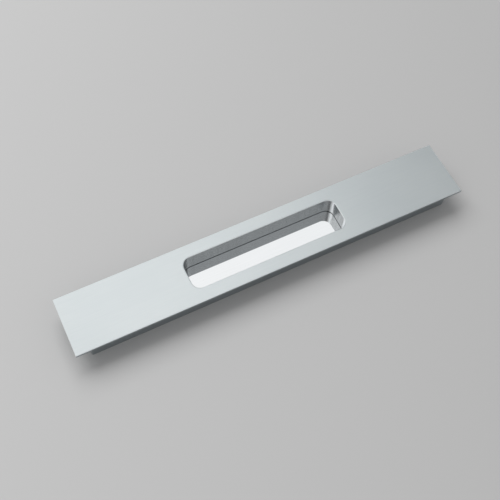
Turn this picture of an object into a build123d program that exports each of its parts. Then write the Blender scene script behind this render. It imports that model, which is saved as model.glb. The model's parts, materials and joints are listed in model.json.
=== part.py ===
from build123d import *
import os

# Recessed pull handle: a bar with a T section, milled from aluminium, with a finger pocket right
# through it and a polished floor plate screwed into its back. Its body enters a slot in the door
# and its face plate covers the edge of the slot.
# Millimetres. X runs along the handle, Y across it and Z out of the door. The origin is at the
# middle of the back, so the handle lies on its back with its face up.

# face plate
plate_length = 250.0
plate_width = 37.5
plate_thickness = 1.5
plate_edge_break = 0.25  # small chamfer round the face

# body behind the plate
end_overhang = 8.5  # how far the plate reaches past the body at each end
side_overhang = 2.5  # and along each side
body_depth = 12.5  # from the back of the plate to the back of the handle
body_corner_radius = 1.0
body_back_chamfer = 0.5  # lead-in for the slot

# finger pocket
pocket_length = 100.0
pocket_width = 21.0
pocket_corner_radius = 5.5
pocket_rim_chamfer = 0.3
pocket_foot_chamfer = 0.35  # leaves a fine shadow line round the floor

# polished floor plate, let into the back of the body
floor_thickness = 1.5
floor_end_lap = 13.0  # how far the floor reaches behind the wall at each end of the pocket
floor_side_lap = 2.9  # and along each side
floor_corner_radius = 3.0
floor_fit = 0.1  # gap between the floor's edge and its rebate
floor_edge_break = 0.15

# countersunk screws that hold the floor plate
screw_diameter = 2.5
screw_head_diameter = 4.7
screw_head_rim = 0.2  # straight edge of the head
screw_head_recess = 0.1  # the heads lie this far below the back
screw_length = 6.5
screw_tip_chamfer = 0.4
screw_from_floor_end = 6.2
screw_from_floor_side = 6.4
screw_seat_clearance = 0.02
screw_hole_clearance = 0.2  # round the shank in the floor plate
screw_thread_clearance = 0.04  # round the shank in the body
screw_hole_run_out = 1.5  # depth of hole past the screw's tip
drive_across_flats = 1.5
drive_depth = 0.8

# threaded holes in the back, for the screws that come through the door
fixing_core_radius = 1.65
fixing_hole_depth = 9.0
fixing_from_body_end = 20.5

# sizes and places that follow
overall_height = body_depth + plate_thickness
body_length = plate_length - 2 * end_overhang
body_width = plate_width - 2 * side_overhang
floor_length = pocket_length + 2 * floor_end_lap
floor_width = pocket_width + 2 * floor_side_lap
rebate_length = floor_length + 2 * floor_fit
rebate_width = floor_width + 2 * floor_fit
fixing_spacing = body_length - 2 * fixing_from_body_end
head_radius = screw_head_diameter / 2
shank_radius = screw_diameter / 2
head_cone_depth = head_radius - shank_radius  # a 90 degree head
screw_tip_height = screw_head_recess + screw_length
countersink_radius = head_radius + screw_head_recess + screw_head_rim + screw_seat_clearance
screw_spacing_x = floor_length - 2 * screw_from_floor_end
screw_spacing_y = floor_width - 2 * screw_from_floor_side
screw_places = GridLocations(screw_spacing_x, screw_spacing_y, 2, 2)

os.makedirs("parts", exist_ok=True)

# handle body: body and face plate in one piece
with BuildPart() as handle_body:
    with BuildSketch():
        Rectangle(body_length, body_width)
    extrude(amount=overall_height)
    fillet(handle_body.edges().filter_by(Axis.Z), body_corner_radius)
    chamfer(handle_body.faces().sort_by(Axis.Z)[0].edges(), body_back_chamfer)
    with BuildSketch(Plane.XY.offset(body_depth)):
        Rectangle(plate_length, plate_width)
    extrude(amount=plate_thickness)
    face_outline = handle_body.faces().sort_by(Axis.Z)[-1].outer_wire()
    chamfer(face_outline.edges(), plate_edge_break)

    # pocket, milled right through
    with BuildSketch():
        RectangleRounded(pocket_length, pocket_width, pocket_corner_radius)
    extrude(amount=overall_height, mode=Mode.SUBTRACT)
    pocket_rim = handle_body.faces().sort_by(Axis.Z)[-1].inner_wires()[0]
    chamfer(pocket_rim.edges(), pocket_rim_chamfer)

    # rebate in the back, which seats the floor plate
    with BuildSketch():
        RectangleRounded(rebate_length, rebate_width, floor_corner_radius + floor_fit)
    extrude(amount=floor_thickness, mode=Mode.SUBTRACT)
    floor_seat = handle_body.faces().filter_by(GeomType.PLANE).filter_by_position(
        Axis.Z, floor_thickness, floor_thickness
    )[0]
    chamfer(floor_seat.inner_wires()[0].edges(), pocket_foot_chamfer)

    # tapped holes for the floor's screws
    with BuildSketch(Plane.XY.offset(floor_thickness)):
        with screw_places:
            Circle(shank_radius + screw_thread_clearance)
    extrude(amount=screw_tip_height + screw_hole_run_out - floor_thickness, mode=Mode.SUBTRACT)

    # threaded holes for fixing the handle to the door
    with BuildSketch():
        with GridLocations(fixing_spacing, 0, 2, 1):
            Circle(fixing_core_radius)
    extrude(amount=fixing_hole_depth, mode=Mode.SUBTRACT)

handle_body.part.label = "handle_body"
export_step(handle_body.part, "parts/handle_body.step")

# pocket floor: a plate with its mirror side up, flush with the back of the body
with BuildPart() as pocket_floor:
    with BuildSketch():
        RectangleRounded(floor_length, floor_width, floor_corner_radius)
    extrude(amount=floor_thickness)
    chamfer(pocket_floor.faces().sort_by(Axis.Z)[0].edges(), floor_edge_break)
    with Locations(pocket_floor.faces().sort_by(Axis.Z)[0]):
        with GridLocations(screw_spacing_x, screw_spacing_y, 2, 2):
            CounterSinkHole(
                radius=shank_radius + screw_hole_clearance,
                counter_sink_radius=countersink_radius,
                counter_sink_angle=90,
            )

pocket_floor.part.label = "pocket_floor"
export_step(pocket_floor.part, "parts/pocket_floor.step")

# floor screws: four alike, heads down, each turned about its own axis
with BuildPart() as floor_screws:
    for place in screw_places.locations:
        screw_foot = place.position + Vector(0, 0, screw_head_recess)
        with BuildSketch(Plane(origin=screw_foot, x_dir=(1, 0, 0), z_dir=(0, -1, 0))):
            with BuildLine():
                Polyline(
                    (0, 0),
                    (head_radius, 0),
                    (head_radius, screw_head_rim),
                    (shank_radius, screw_head_rim + head_cone_depth),
                    (shank_radius, screw_length - screw_tip_chamfer),
                    (shank_radius - screw_tip_chamfer, screw_length),
                    (0, screw_length),
                    close=True,
                )
            make_face()
        revolve(axis=Axis(screw_foot, (0, 0, 1)))
    with BuildSketch(Plane.XY.offset(screw_head_recess)):
        with screw_places:
            RegularPolygon(drive_across_flats / 2, 6, major_radius=False)
    extrude(amount=drive_depth, mode=Mode.SUBTRACT)

floor_screws.part.label = "floor_screws"
export_step(floor_screws.part, "parts/floor_screws.step")
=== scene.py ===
import json
import math

import bpy
from mathutils import Matrix, Vector


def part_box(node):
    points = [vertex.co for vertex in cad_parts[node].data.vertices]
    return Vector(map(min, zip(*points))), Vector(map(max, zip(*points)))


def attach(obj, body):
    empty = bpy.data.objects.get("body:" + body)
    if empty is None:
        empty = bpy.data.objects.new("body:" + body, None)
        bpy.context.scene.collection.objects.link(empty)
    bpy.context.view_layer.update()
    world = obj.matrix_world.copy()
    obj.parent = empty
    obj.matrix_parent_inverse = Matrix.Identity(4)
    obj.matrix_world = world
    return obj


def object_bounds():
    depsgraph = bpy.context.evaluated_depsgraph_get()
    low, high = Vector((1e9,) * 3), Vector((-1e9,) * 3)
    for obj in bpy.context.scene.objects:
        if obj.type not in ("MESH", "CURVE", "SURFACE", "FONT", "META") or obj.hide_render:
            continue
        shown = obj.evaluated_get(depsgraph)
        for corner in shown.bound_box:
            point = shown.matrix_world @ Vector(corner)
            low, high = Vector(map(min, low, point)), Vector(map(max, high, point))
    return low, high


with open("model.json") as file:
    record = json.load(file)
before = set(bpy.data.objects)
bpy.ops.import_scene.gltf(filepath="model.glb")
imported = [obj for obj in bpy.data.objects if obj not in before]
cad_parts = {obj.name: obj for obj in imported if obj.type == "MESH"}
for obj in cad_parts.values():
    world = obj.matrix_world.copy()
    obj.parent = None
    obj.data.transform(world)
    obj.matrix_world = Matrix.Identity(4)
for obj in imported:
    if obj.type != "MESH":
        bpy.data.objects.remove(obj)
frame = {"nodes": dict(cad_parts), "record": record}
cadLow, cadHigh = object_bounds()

mm = 0.001

bodyLow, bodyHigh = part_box("handle_body")
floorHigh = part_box("pocket_floor")[1]
mounts = {mount["name"]: mount for mount in frame["record"]["mounts"]}
pocketBox = frame["record"]["physics"]["openings"][0]["box_m"]
print("handle", [round(side / mm, 2) for side in (bodyHigh - bodyLow)], "mm")


def hexColour(code):
    # sRGB hex to linear
    parts = [int(code[i:i + 2], 16) / 255 for i in (1, 3, 5)]
    linear = [part / 12.92 if part <= 0.04045 else ((part + 0.055) / 1.055) ** 2.4 for part in parts]
    return (*linear, 1.0)


def addNode(tree, kind, settings=None, inputs=None, links=None):
    # one node with its settings, its sockets' values and what feeds its sockets
    node = tree.nodes.new(kind)
    for name, value in (settings or {}).items():
        setattr(node, name, value)
    for name, value in (inputs or {}).items():
        node.inputs[name].default_value = value
    for name, source in (links or {}).items():
        tree.links.new(source, node.inputs[name])
    return node


def newMaterial(name):
    material = bpy.data.materials.new(name)
    material.use_nodes = True
    tree = material.node_tree
    tree.nodes.clear()
    shader = addNode(tree, "ShaderNodeBsdfPrincipled")
    addNode(tree, "ShaderNodeOutputMaterial", links={"Surface": shader.outputs["BSDF"]})
    return material, tree, shader


noise = {
    "roughness": 0.55,
    "low": 0.3,  # the noise itself keeps near one half, so this part of it becomes 0 to 1
    "high": 0.7,
}


def stretchedNoise(tree, place, grainSize, detail, seed=0.0):
    # noise from 0 to 1 whose grain is grainSize long along X, Y and Z
    mapping = addNode(
        tree, "ShaderNodeMapping",
        inputs={"Scale": [1 / size for size in grainSize], "Location": (seed, seed, seed)},
        links={"Vector": place},
    )
    texture = addNode(
        tree, "ShaderNodeTexNoise",
        inputs={"Scale": 1.0, "Detail": detail, "Roughness": noise["roughness"]},
        links={"Vector": mapping.outputs["Vector"]},
    )
    return addNode(
        tree, "ShaderNodeMapRange", inputs={"From Min": noise["low"], "From Max": noise["high"]},
        links={"Value": texture.outputs["Fac"]},
    ).outputs["Result"]


# Satin anodised aluminium: the bar is blasted and anodised, which gives the face a soft cool sheen
# with a very fine grit, a faint grain along the bar and no mirror image. The pocket is milled after
# that, so its wall is smoother, with fine upright tool marks that catch the light in the corners.
anodised = {
    "light": "#F5FAFC",
    "dark": "#EDF3F6",
    "side": "#B0B7BB",  # painted shade: the milled upright sides are made darker than the blasted face, for the shaded floor and dark front they face
    "joint": "#4A4F52",  # painted shadow line where the wall meets the floor
    "jointHeight": 0.55 * mm,
    "faceRoughness": (0.36, 0.42),
    "wallRoughness": (0.2, 0.26),
    "gritSize": 0.45 * mm,  # real grit is near 0.1 mm, drawn coarser so that it shows
    "grainLength": 18 * mm,
    "grainWidth": 0.3 * mm,
    "grainShare": 0.25,  # of the relief, the rest is grit
    "cloudSize": 40 * mm,
    "toolMarkWidth": 1.4 * mm,
    "toolMarkLength": 60 * mm,
    "relief": 0.008 * mm,
    "reliefStrength": 0.2,
    "uprightLean": 0.3,  # a face counts as upright while its normal rises or falls less than this
    "wallPastBoxX": 2.1 * mm,  # the wall lies less than this outside the box that fingers reach
    "wallPastBoxY": 2.0 * mm,
    "wallBelowFace": 0.35 * mm,  # and more than this below the face
}
pocketWall = {
    "X": pocketBox[1][0] + anodised["wallPastBoxX"],
    "Y": pocketBox[1][1] + anodised["wallPastBoxY"],
    "Z": cadHigh.z - anodised["wallBelowFace"],
}


def pocketWallMask(tree, steps):
    # 1 on the pocket's wall, which lies within these distances from the origin, and 0 elsewhere
    mask = None
    for axis, reach in pocketWall.items():
        size = addNode(tree, "ShaderNodeMath", {"operation": "ABSOLUTE"}, links={0: steps.outputs[axis]})
        inside = addNode(
            tree, "ShaderNodeMath", {"operation": "LESS_THAN"}, {1: reach}, {0: size.outputs[0]}
        ).outputs[0]
        if mask is None:
            mask = inside
        else:
            mask = addNode(
                tree, "ShaderNodeMath", {"operation": "MULTIPLY"}, links={0: mask, 1: inside}
            ).outputs[0]
    return mask


def paintedShadowMask(tree, steps, onWall):
    # 1 on the low band of the pocket's wall that meets the floor, where the painted shadow line goes
    low = addNode(
        tree, "ShaderNodeMath", {"operation": "LESS_THAN"}, {1: floorHigh.z + anodised["jointHeight"]},
        {0: steps.outputs["Z"]},
    ).outputs[0]
    return addNode(
        tree, "ShaderNodeMath", {"operation": "MULTIPLY"}, links={0: low, 1: onWall}
    ).outputs[0]


def sideShadeMask(tree, onWall):
    # 1 on the upright outer sides, which get painted shade
    normal = addNode(tree, "ShaderNodeNewGeometry").outputs["True Normal"]
    facing = addNode(tree, "ShaderNodeSeparateXYZ", links={"Vector": normal})
    upright = addNode(
        tree, "ShaderNodeMath", {"operation": "COMPARE"}, {1: 0.0, 2: anodised["uprightLean"]},
        {0: facing.outputs["Z"]},
    ).outputs[0]
    return addNode(
        tree, "ShaderNodeMath", {"operation": "SUBTRACT", "use_clamp": True},
        links={0: upright, 1: onWall},
    ).outputs[0]


def satinAnodisedAluminium():
    material, tree, shader = newMaterial("satinAnodisedAluminium")
    place = addNode(tree, "ShaderNodeTexCoord").outputs["Object"]
    steps = addNode(tree, "ShaderNodeSeparateXYZ", links={"Vector": place})
    grainSize = (anodised["grainLength"], anodised["grainWidth"], anodised["grainWidth"])
    markSize = (anodised["toolMarkWidth"], anodised["toolMarkWidth"], anodised["toolMarkLength"])
    grit = stretchedNoise(tree, place, [anodised["gritSize"]] * 3, detail=2.0)
    grain = stretchedNoise(tree, place, grainSize, detail=4.0, seed=3.0)
    cloud = stretchedNoise(tree, place, [anodised["cloudSize"]] * 3, detail=1.0, seed=7.0)
    toolMarks = stretchedNoise(tree, place, markSize, detail=2.0, seed=11.0)
    onWall = pocketWallMask(tree, steps)

    tone = addNode(
        tree, "ShaderNodeMix", {"data_type": "FLOAT"}, {"Factor": 0.5}, {"A": cloud, "B": grain}
    ).outputs["Result"]
    colour = addNode(
        tree, "ShaderNodeMix", {"data_type": "RGBA"},
        {"A": hexColour(anodised["dark"]), "B": hexColour(anodised["light"])}, {"Factor": tone},
    ).outputs["Result"]
    # painted shade darkens the upright sides, and a painted shadow line darkens the foot of the pocket
    # wall
    for name, mask in (("side", sideShadeMask(tree, onWall)), ("joint", paintedShadowMask(tree, steps, onWall))):
        colour = addNode(
            tree, "ShaderNodeMix", {"data_type": "RGBA"}, {"B": hexColour(anodised[name])},
            {"Factor": mask, "A": colour},
        ).outputs["Result"]
    tree.links.new(colour, shader.inputs["Base Color"])

    roughnesses = []
    for name, pattern in (("faceRoughness", grit), ("wallRoughness", toolMarks)):
        low, high = anodised[name]
        roughnesses.append(addNode(
            tree, "ShaderNodeMix", {"data_type": "FLOAT"}, {"A": low, "B": high}, {"Factor": pattern}
        ).outputs["Result"])
    roughness = addNode(
        tree, "ShaderNodeMix", {"data_type": "FLOAT"},
        links={"Factor": onWall, "A": roughnesses[0], "B": roughnesses[1]},
    )
    tree.links.new(roughness.outputs["Result"], shader.inputs["Roughness"])

    faceRelief = addNode(
        tree, "ShaderNodeMix", {"data_type": "FLOAT"}, {"Factor": anodised["grainShare"]},
        {"A": grit, "B": grain},
    ).outputs["Result"]
    height = addNode(
        tree, "ShaderNodeMix", {"data_type": "FLOAT"},
        links={"Factor": onWall, "A": faceRelief, "B": toolMarks},
    ).outputs["Result"]
    bump = addNode(
        tree, "ShaderNodeBump",
        inputs={"Strength": anodised["reliefStrength"], "Distance": anodised["relief"]},
        links={"Height": height},
    )
    tree.links.new(bump.outputs["Normal"], shader.inputs["Normal"])
    shader.inputs["Metallic"].default_value = 1.0
    return material


def patternedMetal(tree, shader, finish, pattern):
    # colour and roughness that follow one pattern, from dark and smooth to light and rough
    colour = addNode(
        tree, "ShaderNodeMix", {"data_type": "RGBA"},
        {"A": hexColour(finish["dark"]), "B": hexColour(finish["light"])}, {"Factor": pattern},
    )
    low, high = finish["roughness"]
    roughness = addNode(
        tree, "ShaderNodeMix", {"data_type": "FLOAT"}, {"A": low, "B": high}, {"Factor": pattern}
    )
    tree.links.new(colour.outputs["Result"], shader.inputs["Base Color"])
    tree.links.new(roughness.outputs["Result"], shader.inputs["Roughness"])
    shader.inputs["Metallic"].default_value = 1.0


# Polished stainless sheet: the floor is a mirror, so it doubles the pocket's wall and shows the
# bright room above. Only a faint lengthwise polishing haze gives it away.
polished = {
    "light": "#F8F8FA",
    "dark": "#F6F6F8",
    "roughness": (0.02, 0.03),
    "hazeLength": 25 * mm,
    "hazeWidth": 0.8 * mm,
}


def polishedSteel():
    material, tree, shader = newMaterial("polishedSteelSheet")
    place = addNode(tree, "ShaderNodeTexCoord").outputs["Object"]
    hazeSize = (polished["hazeLength"], polished["hazeWidth"], polished["hazeWidth"])
    haze = stretchedNoise(tree, place, hazeSize, detail=3.0, seed=5.0)
    patternedMetal(tree, shader, polished, haze)
    return material


# Zinc-plated steel: bright and slightly blue, with the cloudy patches that plating leaves.
zinc = {
    "light": "#D2D6DB",
    "dark": "#B4B9C2",
    "roughness": (0.22, 0.38),
    "patchSize": 1.2 * mm,
}


def zincPlatedSteel():
    material, tree, shader = newMaterial("zincPlatedSteel")
    place = addNode(tree, "ShaderNodeTexCoord").outputs["Object"]
    patch = stretchedNoise(tree, place, [zinc["patchSize"]] * 3, detail=4.0, seed=2.0)
    patternedMetal(tree, shader, zinc, patch)
    return material


def dress(nodeName, material):
    for slot in frame["nodes"][nodeName].material_slots:
        slot.material = material


aluminium = satinAnodisedAluminium()
dress("handle_body", aluminium)
dress("pocket_floor", polishedSteel())
dress("floor_screws", zincPlatedSteel())
print("finishes on", len(frame["nodes"]), "nodes")


# threads in the two fixing holes: a ridge that winds up each bore
thread = {
    "pitch": 0.7 * mm,
    "height": 0.16 * mm,  # how far the crests stand in from the bore
    "turns": 12,
    "stepsPerTurn": 24,
    "crestSides": 6,
    "mouthInset": 0.35 * mm,
}


def threadTree(material):
    tree = bpy.data.node_groups.new("threadRidge", "GeometryNodeTree")
    tree.interface.new_socket("Geometry", in_out="OUTPUT", socket_type="NodeSocketGeometry")
    for name in ("Bore Radius", "Pitch", "Crest", "Inset", "Spacing"):
        tree.interface.new_socket(name, in_out="INPUT", socket_type="NodeSocketFloat")
    sizes = addNode(tree, "NodeGroupInput")
    height = addNode(
        tree, "ShaderNodeMath", {"operation": "MULTIPLY"}, {1: thread["turns"]},
        {0: sizes.outputs["Pitch"]},
    ).outputs[0]
    helix = addNode(
        tree, "GeometryNodeCurveSpiral",
        inputs={"Resolution": thread["stepsPerTurn"], "Rotations": float(thread["turns"])},
        links={
            "Start Radius": sizes.outputs["Bore Radius"],
            "End Radius": sizes.outputs["Bore Radius"],
            "Height": height,
        },
    )
    profile = addNode(
        tree, "GeometryNodeCurvePrimitiveCircle", {"mode": "RADIUS"},
        {"Resolution": thread["crestSides"]}, {"Radius": sizes.outputs["Crest"]},
    )
    ridge = addNode(
        tree, "GeometryNodeCurveToMesh", inputs={"Fill Caps": True},
        links={"Curve": helix.outputs["Curve"], "Profile Curve": profile.outputs["Curve"]},
    )
    ends = []
    for share in (-0.5, 0.5):
        side = addNode(
            tree, "ShaderNodeMath", {"operation": "MULTIPLY"}, {1: share}, {0: sizes.outputs["Spacing"]}
        ).outputs[0]
        ends.append(addNode(
            tree, "ShaderNodeCombineXYZ", links={"X": side, "Z": sizes.outputs["Inset"]}
        ).outputs["Vector"])
    holes = addNode(
        tree, "GeometryNodeMeshLine", {"mode": "END_POINTS", "count_mode": "TOTAL"}, {"Count": 2},
        {"Start Location": ends[0]},
    )
    # in this mode the second location is the far end
    tree.links.new(ends[1], holes.inputs["Offset"])
    copies = addNode(
        tree, "GeometryNodeInstanceOnPoints",
        links={"Points": holes.outputs["Mesh"], "Instance": ridge.outputs["Mesh"]},
    )
    real = addNode(
        tree, "GeometryNodeRealizeInstances", links={"Geometry": copies.outputs["Instances"]}
    )
    finished = addNode(
        tree, "GeometryNodeSetMaterial", inputs={"Material": material},
        links={"Geometry": real.outputs["Geometry"]},
    )
    addNode(tree, "NodeGroupOutput", links={"Geometry": finished.outputs["Geometry"]})
    return tree


def makeThreads(material):
    holes = mounts["fixing_holes"]["dims"]
    tree = threadTree(material)
    piece = bpy.data.objects.new("fixing_threads", bpy.data.meshes.new("fixing_threads"))
    bpy.context.collection.objects.link(piece)
    modifier = piece.modifiers.new("threadRidge", "NODES")
    modifier.node_group = tree
    values = {
        "Bore Radius": holes["hole_r_mm"] * mm,
        "Pitch": thread["pitch"],
        "Crest": thread["height"],
        "Inset": thread["mouthInset"],
        "Spacing": holes["spacing_x_mm"] * mm,
    }
    for socket in tree.interface.items_tree:
        if socket.in_out == "INPUT":
            modifier[socket.identifier] = values[socket.name]
    bpy.context.view_layer.update()
    evaluated = piece.evaluated_get(bpy.context.evaluated_depsgraph_get())
    mesh = bpy.data.meshes.new_from_object(evaluated)
    piece.modifiers.clear()
    piece.data = mesh
    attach(piece, "root")
    return piece


threads = makeThreads(aluminium)
print("threads", len(threads.data.polygons), "faces")


# floor: a matt pale grey board that the handle lies on. It is open under the handle's back and
# clear from below, so that the back is lit and can be looked at.
board = {
    "left": "#CACACA",
    "right": "#BABABA",
    "fadeReach": 220 * mm,  # painted light falloff: the tone falls from left to right over this far each way
    "size": 6.0,
    "roughness": 0.9,
    "shine": 0.1,
    "drop": 0.02 * mm,  # keeps the board's face clear of the handle's back
    "backBand": 0.01 * mm,  # the handle's back is what lies this near its lowest point
    "openingInset": 0.1 * mm,  # the opening ends this far inside the back's edge
}


def makeFloor():
    body = frame["nodes"]["handle_body"]
    back = [body.matrix_world @ vertex.co for vertex in body.data.vertices]
    back = [place for place in back if place.z < cadLow.z + board["backBand"]]
    openX = max(place.x for place in back) - board["openingInset"]
    openY = max(place.y for place in back) - board["openingInset"]
    half = board["size"] / 2
    height = cadLow.z - board["drop"]
    corners = [
        (x * side, y * end, height)
        for x, y in ((half, half), (openX, openY))
        for side, end in ((-1, -1), (1, -1), (1, 1), (-1, 1))
    ]
    mesh = bpy.data.meshes.new("board")
    mesh.from_pydata(corners, [], [(0, 1, 5, 4), (1, 2, 6, 5), (2, 3, 7, 6), (3, 0, 4, 7)])
    print("board open", round(2 * openX / mm, 1), "by", round(2 * openY / mm, 1), "mm")
    floor = bpy.data.objects.new("board", mesh)
    bpy.context.collection.objects.link(floor)
    material, tree, shader = newMaterial("mattBoard")
    place = addNode(tree, "ShaderNodeTexCoord").outputs["Object"]
    steps = addNode(tree, "ShaderNodeSeparateXYZ", links={"Vector": place})
    # painted light falloff: the board's colour darkens from left to right
    paintedFalloff = addNode(
        tree, "ShaderNodeMapRange",
        inputs={"From Min": -board["fadeReach"], "From Max": board["fadeReach"]},
        links={"Value": steps.outputs["X"]},
    ).outputs["Result"]
    colour = addNode(
        tree, "ShaderNodeMix", {"data_type": "RGBA"},
        {"A": hexColour(board["left"]), "B": hexColour(board["right"])}, {"Factor": paintedFalloff},
    )
    tree.links.new(colour.outputs["Result"], shader.inputs["Base Color"])
    shader.inputs["Roughness"].default_value = board["roughness"]
    shader.inputs["Specular IOR Level"].default_value = board["shine"]
    oneSided = addNode(
        tree, "ShaderNodeMixShader",
        links={
            0: addNode(tree, "ShaderNodeNewGeometry").outputs["Backfacing"],
            1: shader.outputs["BSDF"],
            2: addNode(tree, "ShaderNodeBsdfTransparent").outputs["BSDF"],
        },
    )
    output = next(node for node in tree.nodes if node.type == "OUTPUT_MATERIAL")
    tree.links.new(oneSided.outputs["Shader"], output.inputs["Surface"])
    mesh.materials.append(material)


makeFloor()


# light: a pale room, of which metal shows a graded version with two dark bands
room = {
    "ambient": 0.45,
    "mirrored": 1.0,  # brightest part of what metal sees
    # share of that by how far a ray leans to the right, then by how far it leans to the back
    "across": (
        (-1.0, 1.0), (-0.5, 1.0), (-0.43, 0.24), (-0.33, 0.3), (-0.24, 1.0), (-0.06, 1.0),
        (0.06, 0.78), (0.15, 0.96), (0.34, 0.93), (0.39, 0.1), (0.5, 0.12), (0.64, 0.5), (0.9, 0.5),
    ),
    "along": ((-1.0, 0.7), (-0.7, 0.5), (-0.5, 0.2), (-0.36, 0.3), (0.05, 1.0)),
    "warm": (1.0, 0.985, 0.965),  # tint on the left
    "cool": (0.955, 0.995, 1.0),  # and on the right
}


def leanCurve(tree, value, stops, low=(1, 1, 1), high=(1, 1, 1)):
    # a share that follows a few stops, for a value from -1 to 1, with a tint at each end
    unit = addNode(
        tree, "ShaderNodeMapRange", inputs={"From Min": -1.0, "From Max": 1.0}, links={"Value": value}
    ).outputs["Result"]
    ramp = addNode(tree, "ShaderNodeValToRGB", links={"Fac": unit})
    ramp.color_ramp.interpolation = "EASE"
    for index, (lean, share) in enumerate(stops):
        at = (lean + 1) / 2
        if index < 2:
            stop = ramp.color_ramp.elements[index]
            stop.position = at
        else:
            stop = ramp.color_ramp.elements.new(at)
        mix = index / (len(stops) - 1)
        stop.color = (*(share * (a + (b - a) * mix) for a, b in zip(low, high)), 1.0)
    return ramp.outputs["Color"]


def makeRoom():
    world = bpy.data.worlds.new("paleRoom")
    bpy.context.scene.world = world
    world.use_nodes = True
    tree = world.node_tree
    tree.nodes.clear()
    direction = addNode(tree, "ShaderNodeTexCoord").outputs["Generated"]
    lean = addNode(tree, "ShaderNodeSeparateXYZ", links={"Vector": direction})
    mirrored = addNode(
        tree, "ShaderNodeMix", {"data_type": "RGBA", "blend_type": "MULTIPLY"}, {"Factor": 1.0},
        {
            "A": leanCurve(tree, lean.outputs["X"], room["across"], room["warm"], room["cool"]),
            "B": leanCurve(tree, lean.outputs["Y"], room["along"]),
        },
    ).outputs["Result"]
    rays = addNode(tree, "ShaderNodeLightPath")
    plain = addNode(
        tree, "ShaderNodeBackground", inputs={"Color": (1, 1, 1, 1), "Strength": room["ambient"]}
    )
    bright = addNode(
        tree, "ShaderNodeBackground", inputs={"Strength": room["mirrored"]}, links={"Color": mirrored}
    )
    seen = addNode(tree, "ShaderNodeBackground", inputs={"Color": hexColour(board["left"])})
    forMetal = addNode(
        tree, "ShaderNodeMixShader",
        links={0: rays.outputs["Is Glossy Ray"], 1: plain.outputs[0], 2: bright.outputs[0]},
    )
    forCamera = addNode(
        tree, "ShaderNodeMixShader",
        links={0: rays.outputs["Is Camera Ray"], 1: forMetal.outputs[0], 2: seen.outputs[0]},
    )
    addNode(tree, "ShaderNodeOutputWorld", links={"Surface": forCamera.outputs[0]})


# one large soft box high behind the handle, which metal doesn't show
softBox = {
    "place": (-0.2, 1.25, 1.6),
    "aim": (0, 0, 0),
    "size": (2.2, 1.5),
    "power": 34.0,
}


def makeSoftBox():
    light = bpy.data.lights.new("softBox", "AREA")
    light.shape = "RECTANGLE"
    light.size, light.size_y = softBox["size"]
    light.energy = softBox["power"]
    lamp = bpy.data.objects.new("softBox", light)
    bpy.context.collection.objects.link(lamp)
    lamp.location = softBox["place"]
    toAim = Vector(softBox["aim"]) - Vector(softBox["place"])
    lamp.rotation_euler = toAim.to_track_quat("-Z", "Y").to_euler()
    lamp.visible_glossy = False


makeRoom()
makeSoftBox()
print("room and soft box lit")


# camera: high in front of the handle, a little to its left, turned slightly about its own axis
view = {
    "azimuth": -28.8,
    "elevation": 62.18,
    "roll": 3.1,
    "distance": 478.7 * mm,
    "aim": (-10.4 * mm, -0.3 * mm, cadHigh.z),
    "lens": 58.92,
    "sensor": 36.0,
    "clipStart": 0.01,
}


def makeCamera():
    azimuth, elevation, roll = (math.radians(view[key]) for key in ("azimuth", "elevation", "roll"))
    back = Vector((
        math.sin(azimuth) * math.cos(elevation),
        -math.cos(azimuth) * math.cos(elevation),
        math.sin(elevation),
    ))
    right = (-back).cross(Vector((0, 0, 1))).normalized()
    up = right.cross(-back)
    turnedRight = right * math.cos(roll) + up * math.sin(roll)
    turnedUp = up * math.cos(roll) - right * math.sin(roll)
    data = bpy.data.cameras.new("camera")
    data.lens = view["lens"]
    data.sensor_width = view["sensor"]
    data.clip_start = view["clipStart"]
    camera = bpy.data.objects.new("camera", data)
    bpy.context.collection.objects.link(camera)
    place = Vector(view["aim"]) + back * view["distance"]
    turn = Matrix((turnedRight, turnedUp, back)).transposed()
    camera.matrix_world = Matrix.Translation(place) @ turn.to_4x4()
    bpy.context.scene.camera = camera


makeCamera()
bpy.context.scene.view_settings.view_transform = "Standard"
